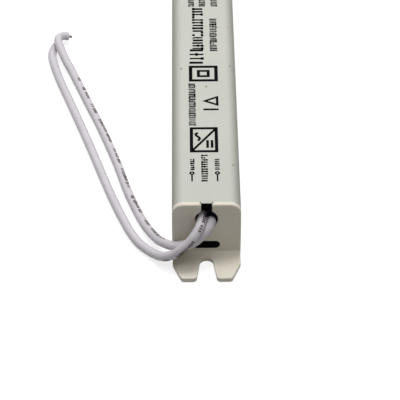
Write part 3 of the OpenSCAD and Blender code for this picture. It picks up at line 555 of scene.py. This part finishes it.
outer_spans = [
    (18.8, 19.8), (20.7, 21.4), (22.0, 23.7), (26.2, 27.9), (28.5, 29.0), (29.5, 31.9), (34.6, 36.4)]
outer_turns = [(19, -34), (22, -18), (26.5, -36), (30, -46), (36, -72)]
outer_print = strokes_on("outer_wire_print", lines_on_wire(outer_path, outer_spans, outer_turns),
                         wire_ink_finish, 0.55, 0.36, 1.05, seed=3, kept=0.95, least=0.6)
inner_spans = [
    (35.7, 40), (41, 43.5), (44.2, 48.8), (52.4, 54), (54.6, 56.2), (56.8, 58.1), (58.7, 60.2),
    (63.7, 65.2), (65.9, 71.8), (74.2, 76), (77.1, 78.8), (79.6, 80.9), (84.2, 85.6), (86.3, 88),
    (88.6, 90), (90.6, 94.7), (97.4, 101.9), (105.2, 107.9), (109.3, 110.5), (113.9, 115.2)]
inner_turns = [
    (36, 60), (39, 52), (45, 50), (49, 44), (54, 42), (58, 34), (62, 34), (67, 42), (71, 38), (76, 42),
    (85, 48), (91, 46), (94, 38), (101, 38), (105, 44)]
inner_print = strokes_on("inner_wire_print", lines_on_wire(inner_path, inner_spans, inner_turns),
                         wire_ink_finish, 0.5, 0.3, 1.0, seed=8, kept=0.92, least=0.55)
print("strokes on the wires:", len(outer_print.data.polygons) // 6, len(inner_print.data.polygons) // 6)

# %% The new wires take the place of the CAD wires
for wire, strands, ink, path, side in (
        (outer_wire, outer_strands, outer_print, outer_path, "outer"),
        (inner_wire, inner_strands, inner_print, inner_path, "inner")):
    for piece in (wire, strands, ink):
        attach(piece, "root")
    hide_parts(side + "_input_wire")
    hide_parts(side + "_wire_tip")
    print("cord:", wire.name, "length on the model in mm:", round(length_of(path) / MM, 1))

# %% [markdown]
# ## The moulded caps
# A moulded part has no sharp edges, and the thin bright lines along them are what make it look real.
# The CAD mesh is loose triangles, so a copy is merged, its flat faces are joined, and then only the
# outside edges are rounded. Cuts across the mesh first split long edges, so that the rounding stops
# before the foot meets the flange.

# %% Merged copies and rounded edges
MERGE_MM = 0.002
SHARP_TURN = 35
SMOOTH_TURN = 24


def merged_copy(node, name):
    """A copy of a CAD node's mesh without materials, and its merged bmesh."""
    mesh = nodes[node].data.copy()
    mesh.name = name
    mesh.materials.clear()
    bm = bmesh.new()
    bm.from_mesh(mesh)
    bmesh.ops.remove_doubles(bm, verts=bm.verts, dist=MERGE_MM * MM)
    return mesh, bm


def round_edges(bm, choose, radius_mm, segments=3):
    """Rounds the sharp edges that choose picks by their two ends in mm."""
    edges = [e for e in bm.edges if len(e.link_faces) == 2
             and e.calc_face_angle(0) > math.radians(SHARP_TURN)
             and choose(*(v.co / MM for v in e.verts))]
    bmesh.ops.bevel(bm, geom=edges, offset=radius_mm * MM, offset_type="OFFSET", segments=segments,
                    profile=0.5, affect="EDGES", clamp_overlap=True)
    return len(edges)


# %% Rounded copies of the caps
CASE_TOP = 18.5
FLANGE_FACE, FLANGE_BACK = 76.0, 74.75
SLOPE_TOP, SLOPE_END = 2.3, 77.5
WINDOW_TOP = 6.0
WINDOW_HALF = 4.0
OUTER_X = 8.8
OUTER_Z = CASE_TOP - 0.2
OUTER_CORNER = 25.0
NEAR = 0.01
FACE_R, WINDOW_R, BACK_R, FOOT_R = 0.45, 0.15, 0.12, 0.2


def rounded_cap(node, name, end):
    """end is -1 for the cap at the low end of Y and 1 for the one at the high end."""
    mesh, bm = merged_copy(node, name)
    bmesh.ops.dissolve_limit(bm, angle_limit=math.radians(0.5), verts=bm.verts, edges=bm.edges)
    for place, normal in (((0, 0, SLOPE_TOP), (0, 0, 1)), ((0, 0, WINDOW_TOP), (0, 0, 1)),
                          ((0, end * SLOPE_END, 0), (0, 1, 0))):
        whole = bm.verts[:] + bm.edges[:] + bm.faces[:]
        bmesh.ops.bisect_plane(bm, geom=whole, plane_co=Vector(place) * MM, plane_no=normal, dist=1e-7)

    def at(a, b, y):
        return abs(a.y - end * y) < NEAR and abs(b.y - end * y) < NEAR

    def outside(v):
        return abs(v.x) > OUTER_X or v.z > OUTER_Z or abs(v.x) + v.z > OUTER_CORNER

    def over_window(a, b):
        return at(a, b, FLANGE_FACE) and min(a.z, b.z) > WINDOW_TOP

    def round_window(a, b):
        return (at(a, b, FLANGE_FACE) and max(a.z, b.z) < WINDOW_TOP
                and max(abs(a.x), abs(b.x)) < WINDOW_HALF)

    def round_back(a, b):
        return at(a, b, FLANGE_BACK) and outside(a) and outside(b)

    def on_foot(a, b):
        return min(end * a.y, end * b.y) > SLOPE_END - NEAR and abs(a.z - b.z) < NEAR

    done = [round_edges(bm, over_window, FACE_R, 4), round_edges(bm, round_window, WINDOW_R, 2),
            round_edges(bm, round_back, BACK_R, 2), round_edges(bm, on_foot, FOOT_R)]
    bmesh.ops.recalc_face_normals(bm, faces=bm.faces)
    bm.to_mesh(mesh)
    bm.free()
    mesh.polygons.foreach_set("use_smooth", [True] * len(mesh.polygons))
    mesh.set_sharp_from_angle(angle=math.radians(SMOOTH_TURN))
    mesh.materials.append(cap_finish)
    cap = add_object(name, mesh)
    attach(cap, "root")
    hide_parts(node)
    print(name, "rounded edges:", done, "faces:", len(mesh.polygons))


rounded_cap("input_end_cap", "input_cap_moulding", -1)
rounded_cap("output_end_cap", "output_cap_moulding", 1)

# %% [markdown]
# ## Black sheets of painted shade at the openings
# The openings of the caps hold deep shade, and black sheets stand in for it: painted shade. At each end a
# black tongue stands up in the slot, in front of the end of the tube, and the low window is backed with a
# black sheet. Behind the wire hole a black flap closes the inside, and two narrow black pieces fill the
# hole beside the wires. That is why the openings look black from outside. The sheets use the same black
# finish as the film inside. Each is flat, so each piece is an outline with a small thickness.

# %% Sheets of painted shade
FILM_T = 0.15
SLOT_HALF = 1.38


def circle(x, y, r, steps=32):
    """Points of a circle."""
    turns = [math.tau * i / steps for i in range(steps)]
    return [(x + r * math.cos(a), y + r * math.sin(a)) for a in turns]


def arc(x, z, r, start, end, steps=14):
    """Points of an arc from one angle to another, in degrees."""
    turns = [math.radians(start + (end - start) * i / steps) for i in range(steps + 1)]
    return [(x + r * math.cos(a), z + r * math.sin(a)) for a in turns]


def pushed(bm, way):
    """Gives the faces of a flat bmesh a thickness along way, in metres."""
    moved = bmesh.ops.extrude_face_region(bm, geom=bm.faces[:])["geom"]
    verts = [v for v in moved if isinstance(v, bmesh.types.BMVert)]
    bmesh.ops.translate(bm, verts=verts, vec=way)
    bmesh.ops.recalc_face_normals(bm, faces=bm.faces)


def mesh_of(bm, name, material):
    """A new mesh with one material from a bmesh, which is freed."""
    mesh = bpy.data.meshes.new(name)
    bm.to_mesh(mesh)
    bm.free()
    mesh.materials.append(material)
    return mesh


def shade_sheet_piece(name, outline, y, thickness=FILM_T, holes=()):
    """A flat black sheet of painted shade that faces along Y, from points (x, z) in mm, with round holes
    (x, z, r).
    """
    bm = bmesh.new()
    loops = [outline] + [circle(x, z, r) for x, z, r in holes]
    for loop in loops:
        verts = [bm.verts.new(Vector((px, y, pz)) * MM) for px, pz in loop]
        for i in range(len(verts)):
            bm.edges.new((verts[i - 1], verts[i]))
    bmesh.ops.triangle_fill(bm, edges=bm.edges, use_beauty=True)
    pushed(bm, Vector((0, thickness * MM, 0)))
    film = add_object(name, mesh_of(bm, name, film_and_shade_finish))
    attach(film, "root")


def crossing(path, y):
    """Where a wire first passes the plane at y, as (x, z) in mm."""
    i = int(np.argmax(path[:, 1] < y * MM))
    return path[i][0] / MM, path[i][2] / MM


def window_outline(gap, steps=12):
    """The low window of the cap, drawn in by a gap."""
    width, height, z = 7.1, 2.6, 4.4
    r = height / 2 - gap
    turn = [math.pi * i / steps - math.pi / 2 for i in range(steps + 1)]
    right = [(width / 2 - height / 2 + r * math.cos(a), z + r * math.sin(a)) for a in turn]
    return right + [(-x, 2 * z - pz) for x, pz in right]


# %% Painted shade in the slots and behind the low windows
TONGUE_Y, TONGUE_TOP = 75.37, 18.4
WINDOW_FILM_Y, WINDOW_FILM_T = 75.75, 0.2

# One black finish serves the film inside and the sheets of painted shade.
film_and_shade_finish = finish("black_film_and_painted_shade", (3, 3, 4), (6, 6, 7), rough=0.85, bump=0.08, gloss=0.03)
# Each tongue and each window sheet is painted shade, black where the inside lies in deep shade.
for side, end, low in (("input", -1, 17.1), ("output", 1, 15.95)):
    tongue = [(-SLOT_HALF, low), (SLOT_HALF, low), (SLOT_HALF, TONGUE_TOP), (-SLOT_HALF, TONGUE_TOP)]
    shade_sheet_piece(side + "_painted_shade_tongue", tongue, end * TONGUE_Y - FILM_T / 2)
    shade_sheet_piece(side + "_window_shade_sheet", window_outline(0.02), end * WINDOW_FILM_Y - WINDOW_FILM_T / 2,
               WINDOW_FILM_T)
print("tongues and window films at y in mm:", TONGUE_Y, WINDOW_FILM_Y)

# %% Painted shade behind the wire hole
FLAP_Y, COLLAR_Y, HOLE_Z, RIM_R = -73.6, -75.6, 13.3, 2.9
COLLAR_TOP, SLOT_FOOT = 17.2, 15.87
PASS_R = 1.2
PASS_RISE = 1.1
FLAP = [(-6.3, 7.6), (6.3, 7.6), (6.3, 15.6), (5.9, 16.0), (-5.9, 16.0), (-6.3, 15.6)]
passes = [crossing(path, FLAP_Y) + (PASS_R,) for path in (outer_path, inner_path)]
# The flap is a black sheet of painted shade, with holes for the wires.
shade_sheet_piece("input_shade_flap", FLAP, FLAP_Y, holes=passes)

# The collar, a black sheet of painted shade, follows the slot and the rim on the right, and stays clear of
# the top of the inner wire
inner_x, inner_z = crossing(inner_path, COLLAR_Y)
collar = [(0.05, COLLAR_TOP), (SLOT_HALF, COLLAR_TOP), (SLOT_HALF, SLOT_FOOT)]
collar += arc(0, HOLE_Z, RIM_R, 62, -40)
collar += arc(inner_x, inner_z, PASS_R, -20, 0, 3)
collar += arc(inner_x, inner_z + PASS_RISE, PASS_R, 0, 175)
shade_sheet_piece("input_shade_collar", collar, COLLAR_Y)

# The edge, a black sheet of painted shade, lies between the rim on the left and the outer wire
outer_x, outer_z = crossing(outer_path, COLLAR_Y)
edge = arc(0, HOLE_Z, RIM_R, 140, 195) + arc(outer_x, outer_z, PASS_R, 190, 130)
shade_sheet_piece("input_shade_edge", edge, COLLAR_Y)
print("wires through the flap at (x, z, r):", [tuple(round(v, 2) for v in p) for p in passes])

# %% [markdown]
# ## The edge of the tube in the slots
# The tube's end sits a little way inside the cap's plate, so a thin bright line of metal shows at the
# top of each slot, above the black tongue of painted shade. The CAD tube stops at the back of the plate,
# and its mesh may not change, so this strip is a small piece of its own. Its section is drawn in y and z,
# with a rounded front edge, and pushed along x.

# %% The tube's edge in the slots
def tube_lip(name, end):
    """The tube's wall where it shows in the slot of a cap. Points are (y, z) in mm."""
    r, front, back, low = 0.1, 75.29, 74.76, 17.9
    outline = [(back, low), (front, low)] + arc(front - r, CASE_TOP - r, r, 0, 90, 4) + [(back, CASE_TOP)]
    bm = bmesh.new()
    bm.faces.new([bm.verts.new(Vector((-SLOT_HALF, end * py, pz)) * MM) for py, pz in outline])
    pushed(bm, Vector((2 * SLOT_HALF * MM, 0, 0)))
    lip = add_object(name, mesh_of(bm, name, case_finish))
    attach(lip, "root")
    print(name, "faces:", len(lip.data.polygons), "width in mm:", 2 * SLOT_HALF)


tube_lip("input_tube_lip", -1)
tube_lip("output_tube_lip", 1)

# %% [markdown]
# ## Print on the top of the case
# The print stands in columns that read along the tube. It is made of rows of strokes and of plain
# electrical symbols and shapes: two terminals, a converter, a bar with a triangle, and one square in
# another. Ribbons of ink with a real thickness are used, because a decal would need an image.

# %% Ribbons of ink
INK_T = 0.03
INK_ROOT = 0.01


def ribbon(bm, points, width, closed=False):
    """A flat ribbon of ink along points in mm on the top of the case, with mitred corners."""
    count = len(points)
    p = [Vector(q) for q in points]
    rings = []
    for i in range(count):
        before = p[i] - p[i - 1] if closed or i > 0 else p[1] - p[0]
        after = p[(i + 1) % count] - p[i] if closed or i < count - 1 else p[i] - p[i - 1]
        a, b = before.normalized(), after.normalized()
        mean = (a + b).normalized()
        side = Vector((-mean.y, mean.x)) * (width / 2 / max(mean.dot(a), 0.3))
        rings.append([bm.verts.new(Vector((q.x, q.y, z)) * MM) for q, z in (
            (p[i] - side, CASE_TOP - INK_ROOT), (p[i] + side, CASE_TOP - INK_ROOT),
            (p[i] + side, CASE_TOP + INK_T), (p[i] - side, CASE_TOP + INK_T))])
    for i in range(count if closed else count - 1):
        low, high = rings[i], rings[(i + 1) % count]
        for k in range(4):
            bm.faces.new((low[k], low[(k + 1) % 4], high[(k + 1) % 4], high[k]))
    if not closed:
        bm.faces.new(rings[0][::-1])
        bm.faces.new(rings[-1])


def box_line(x0, y0, x1, y1):
    """The corners of an upright box."""
    return [(x0, y0), (x1, y0), (x1, y1), (x0, y1)]


# %% Symbols on the case
ink = bmesh.new()

# Two terminals at each end of the case, each a ring with a short line
for x in (-3.68, 3.03):
    for end in (-1, 1):
        ribbon(ink, circle(x, end * 63.45, 0.47), 0.46, closed=True)
        ribbon(ink, [(x, end * 64.0), (x, end * 66.7)], 0.42)

# A converter: a frame with a diagonal, a wave in one half and two bars in the other
ribbon(ink, box_line(-3.72, -54.6, 3.0, -45.0), 0.9, closed=True)
ribbon(ink, [(-3.5, -54.3), (2.8, -45.3)], 0.68)
WAVE_STEPS = 16
wave = [(-2.0 + 0.5 * math.sin(math.tau * t / WAVE_STEPS), -50.2 + 3.4 * t / WAVE_STEPS)
        for t in range(WAVE_STEPS + 1)]
ribbon(ink, wave, 0.72)
for x in (0.6, 1.8):
    ribbon(ink, [(x, -53.2), (x, -50.0)], 0.72)

# A bar and a triangle
ribbon(ink, [(-0.35, -36.9), (3.85, -36.9)], 0.75)
ribbon(ink, [(0.1, -33.2), (3.5, -34.9), (3.5, -31.5)], 0.68, closed=True)

# One square in another
ribbon(ink, box_line(-3.75, -24.0, 3.4, -17.8), 1.0, closed=True)
ribbon(ink, box_line(-1.55, -22.1, 1.2, -19.7), 0.85, closed=True)
bmesh.ops.recalc_face_normals(ink, faces=ink.faces)
case_symbols = add_object("case_symbols", mesh_of(ink, "case_symbols", ink_finish))
print("faces of the symbols:", len(case_symbols.data.polygons))

# %% Rows of strokes on the case
UP = (0.0, 0.0, 1.0)
FIRST_ROW_SEED = 50
# Each row: x, its spans along y, height of the row, width of a stroke, spacing
print_rows = [
    (-3.56, [(-61.9, -58.0)], 1.15, 0.4, 0.7),
    (3.03, [(-61.9, -58.0)], 1.3, 0.4, 0.7),
    (-0.33, [(-66.5, -61.9), (-60.9, -56.3)], 1.75, 0.45, 0.8),
    (-3.41, [(-43.5, -38.6), (-37.9, -25.7)], 1.95, 0.46, 0.75),
    (-2.0, [(-15.9, -10.1)], 4.1, 0.8, 1.55),
    (-1.55, [(-9.2, -1.6), (-0.9, 9.9)], 3.2, 0.68, 1.25),
    (2.89, [(-10.2, -2.0), (-1.2, 4.8)], 2.1, 0.46, 0.78),
    (-3.39, [(11.5, 20.0), (21.2, 31.0), (32.0, 40.0)], 1.75, 0.46, 0.8),
    (-0.18, [(11.5, 24.0), (25.0, 30.5), (31.5, 44.0)], 1.95, 0.46, 0.8),
    (3.32, [(11.5, 17.0), (18.2, 29.0), (30.0, 36.0)], 2.0, 0.46, 0.8)]
row_pieces = []
for x, spans, tall, wide, spacing in print_rows:
    rung = wide * 1.1
    side = (tall - rung) / 2
    along = 0.8 * spacing
    # Upright strokes over the height of the row, then short rungs at its two edges and its middle,
    # each as shift, height, width, share that is kept and least share of the height
    layers = ((0, tall, wide, 0.92, 0.85), (side, rung, along, 0.55, 1), (-side, rung, along, 0.55, 1),
              (0, 0.8 * rung, along, 0.3, 1))
    for shift, height, width, kept, least in layers:
        lines = [[(((x + shift) * MM, y * MM, (CASE_TOP + INK_ROOT) * MM), UP) for y in span]
                 for span in spans]
        row_pieces.append(strokes_on("row", lines, ink_finish, spacing, width, height,
                                     seed=FIRST_ROW_SEED + len(row_pieces), kept=kept, least=least))
rows_bm = bmesh.new()
for piece in row_pieces:
    rows_bm.from_mesh(piece.data)
    bpy.data.objects.remove(piece)
case_rows = add_object("case_text_rows", mesh_of(rows_bm, "case_text_rows", ink_finish))
for piece in (case_symbols, case_rows):
    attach(piece, "root")
print("strokes on the case:", len(case_rows.data.polygons) // 6)

# %% [markdown]
# ## Finishes of the case and of what is inside
# The parts inside are hidden by the tube, but the model is also taken apart and seen piece by piece, so
# each has the finish of the real component: green lacquer on the board, copper on the coils, brown
# ferrite, blue lacquer.

# %% Inside finishes
inside = {
    "case_profile": case_finish,
    "folded_film floor_film": film_and_shade_finish,
    "circuit_board": finish("green_solder_mask", (38, 92, 52), (32, 80, 44), rough=0.35, coat=0.3,
                            drift=120.0),
    "solder_joints wire_tails": finish("tin_solder", (190, 192, 196), (160, 162, 168), rough=0.28,
                                       metallic=0.95, drift=500.0),
    "heat_pad": finish("grey_blue_heat_pad", (140, 158, 184), (128, 146, 172), rough=0.8, bump=0.4),
    "input_fuse": finish("cream_ceramic", (219, 214, 199), (208, 203, 187), rough=0.4, bump=0.15),
    "inrush_thermistor": finish("green_lacquer", (36, 76, 56), (30, 64, 48), rough=0.35, coat=0.4),
    "filter_capacitor": finish("yellow_box_plastic", (219, 189, 52), (208, 178, 44), rough=0.5, bump=0.2),
    "choke_core transformer_core_a transformer_core_b output_inductor": finish(
        "brown_black_ferrite", (62, 60, 64), (48, 46, 50), rough=0.6, bump=0.4, depth_mm=0.04, coarse=1.5),
    "choke_coils transformer_winding": finish("enamelled_copper", (184, 98, 52), (160, 80, 40), rough=0.3,
                                              metallic=0.8, coat=0.5, drift=300.0),
    "bridge_rectifier switch_transistor controller_chip output_diode transformer_bobbin "
    "chip_resistors": finish("black_epoxy", (34, 34, 36), (42, 42, 45), rough=0.55, bump=0.3,
                             depth_mm=0.03, fine=6.0),
    "bulk_capacitor output_capacitor_a output_capacitor_b": finish(
        "capacitor_sleeve", (28, 32, 70), (34, 38, 78), rough=0.3, coat=0.3),
    "snubber_resistor": finish("resistor_lacquer", (184, 164, 122), (172, 150, 108), rough=0.4,
                               coat=0.3),
    "snubber_capacitor safety_capacitor": finish("blue_lacquer", (42, 92, 168), (36, 82, 152),
                                                 rough=0.35, coat=0.4),
    "transformer_tape": finish("yellow_tape", (224, 194, 52), (214, 182, 44), rough=0.35, bump=0.1),
    "optocoupler": finish("white_epoxy", (228, 228, 224), (218, 218, 213), rough=0.5, bump=0.2),
}
for names, material in inside.items():
    for name in names.split():
        if not nodes[name].material_slots:
            nodes[name].data.materials.append(None)
        for slot in nodes[name].material_slots:
            slot.material = material
print("CAD nodes with a finish:", sum(len(names.split()) for names in inside))

# %% [markdown]
# ## Floor, sky and lamps
# The floor is a pale sheet that still takes the object's shadow. Its white comes from its own colour
# and, for camera and glossy rays, from a little added glow, never from more light on the object. Two
# soft lamps hang straight above, a wide one for the even light and a small one for the shadows, so the
# top is bright and the face of the cap stays in soft shade. The sky adds next to nothing, as in a
# studio with dark walls.

# %% Floor
def seen_directly(g):
    """1 for the rays that show the floor or the sky, and 0 for those that light the object."""
    path = g.add("ShaderNodeLightPath").outputs
    return g.math("MAXIMUM", g.math("MAXIMUM", path["Is Camera Ray"], path["Is Glossy Ray"]),
                  path["Is Transmission Ray"])


FLOOR_HALF = 3.0
FLOOR_DROP_MM = 0.05
corners = [(-FLOOR_HALF, -FLOOR_HALF, 0), (FLOOR_HALF, -FLOOR_HALF, 0), (FLOOR_HALF, FLOOR_HALF, 0),
           (-FLOOR_HALF, FLOOR_HALF, 0)]
floor_mesh = bpy.data.meshes.new("floor")
floor_mesh.from_pydata(corners, [], [(0, 1, 2, 3)])
floor_mesh.transform(Matrix.Translation((0, 0, -FLOOR_DROP_MM * MM)))
floor = add_object("floor", floor_mesh)

PLAIN_GREY = 0.5
SHOWN_GREY = 0.42
FLOOR_GLOW = 0.76
floor_material = bpy.data.materials.new("pale_floor")
g = blank_graph(floor_material)
plain = g.add("ShaderNodeBsdfDiffuse", {"Color": (PLAIN_GREY, PLAIN_GREY, PLAIN_GREY, 1)})
shown = g.add("ShaderNodeAddShader", {
    0: g.add("ShaderNodeBsdfDiffuse", {"Color": (SHOWN_GREY, SHOWN_GREY, SHOWN_GREY, 1)}).outputs[0],
    1: g.add("ShaderNodeEmission", {"Color": (1, 1, 1, 1), "Strength": FLOOR_GLOW}).outputs[0]})
both = g.add("ShaderNodeMixShader", {0: seen_directly(g), 1: plain.outputs[0], 2: shown.outputs[0]})
g.add("ShaderNodeOutputMaterial", {"Surface": both.outputs[0]})
floor_mesh.materials.append(floor_material)
print("floor glow for camera and glossy rays:", FLOOR_GLOW)

# %% Sky
SKY_FILL = 0.02
world = bpy.data.worlds.new("studio")
g = blank_graph(world)
fill = g.add("ShaderNodeBackground", {"Color": (1, 1, 1, 1), "Strength": SKY_FILL})
white = g.add("ShaderNodeBackground", {"Color": (1, 1, 1, 1), "Strength": 1.0})
both = g.add("ShaderNodeMixShader", {0: seen_directly(g), 1: fill.outputs[0], 2: white.outputs[0]})
g.add("ShaderNodeOutputWorld", {"Surface": both.outputs[0]})
bpy.context.scene.world = world
bpy.context.scene.view_settings.view_transform = "Standard"
print("sky fill:", SKY_FILL)


# %% Lamps
def soft_lamp(name, place, width, length, watts, aim=(0.0, -0.02, 0.01)):
    """A rectangular lamp that is aimed at a point near the cap. Sizes are in metres."""
    data = bpy.data.lights.new(name, "AREA")
    data.shape = "RECTANGLE"
    data.size = width
    data.size_y = length
    data.energy = watts
    lamp = add_object(name, data)
    lamp.location = place
    lamp.rotation_mode = "QUATERNION"
    lamp.rotation_quaternion = (Vector(aim) - Vector(place)).to_track_quat("-Z", "Y")


soft_lamp("wide_softbox", (0.0, 0.05, 0.60), 1.0, 1.0, 4.4)
soft_lamp("small_softbox", (0.0, 0.06, 0.60), 0.15, 0.15, 1.15)
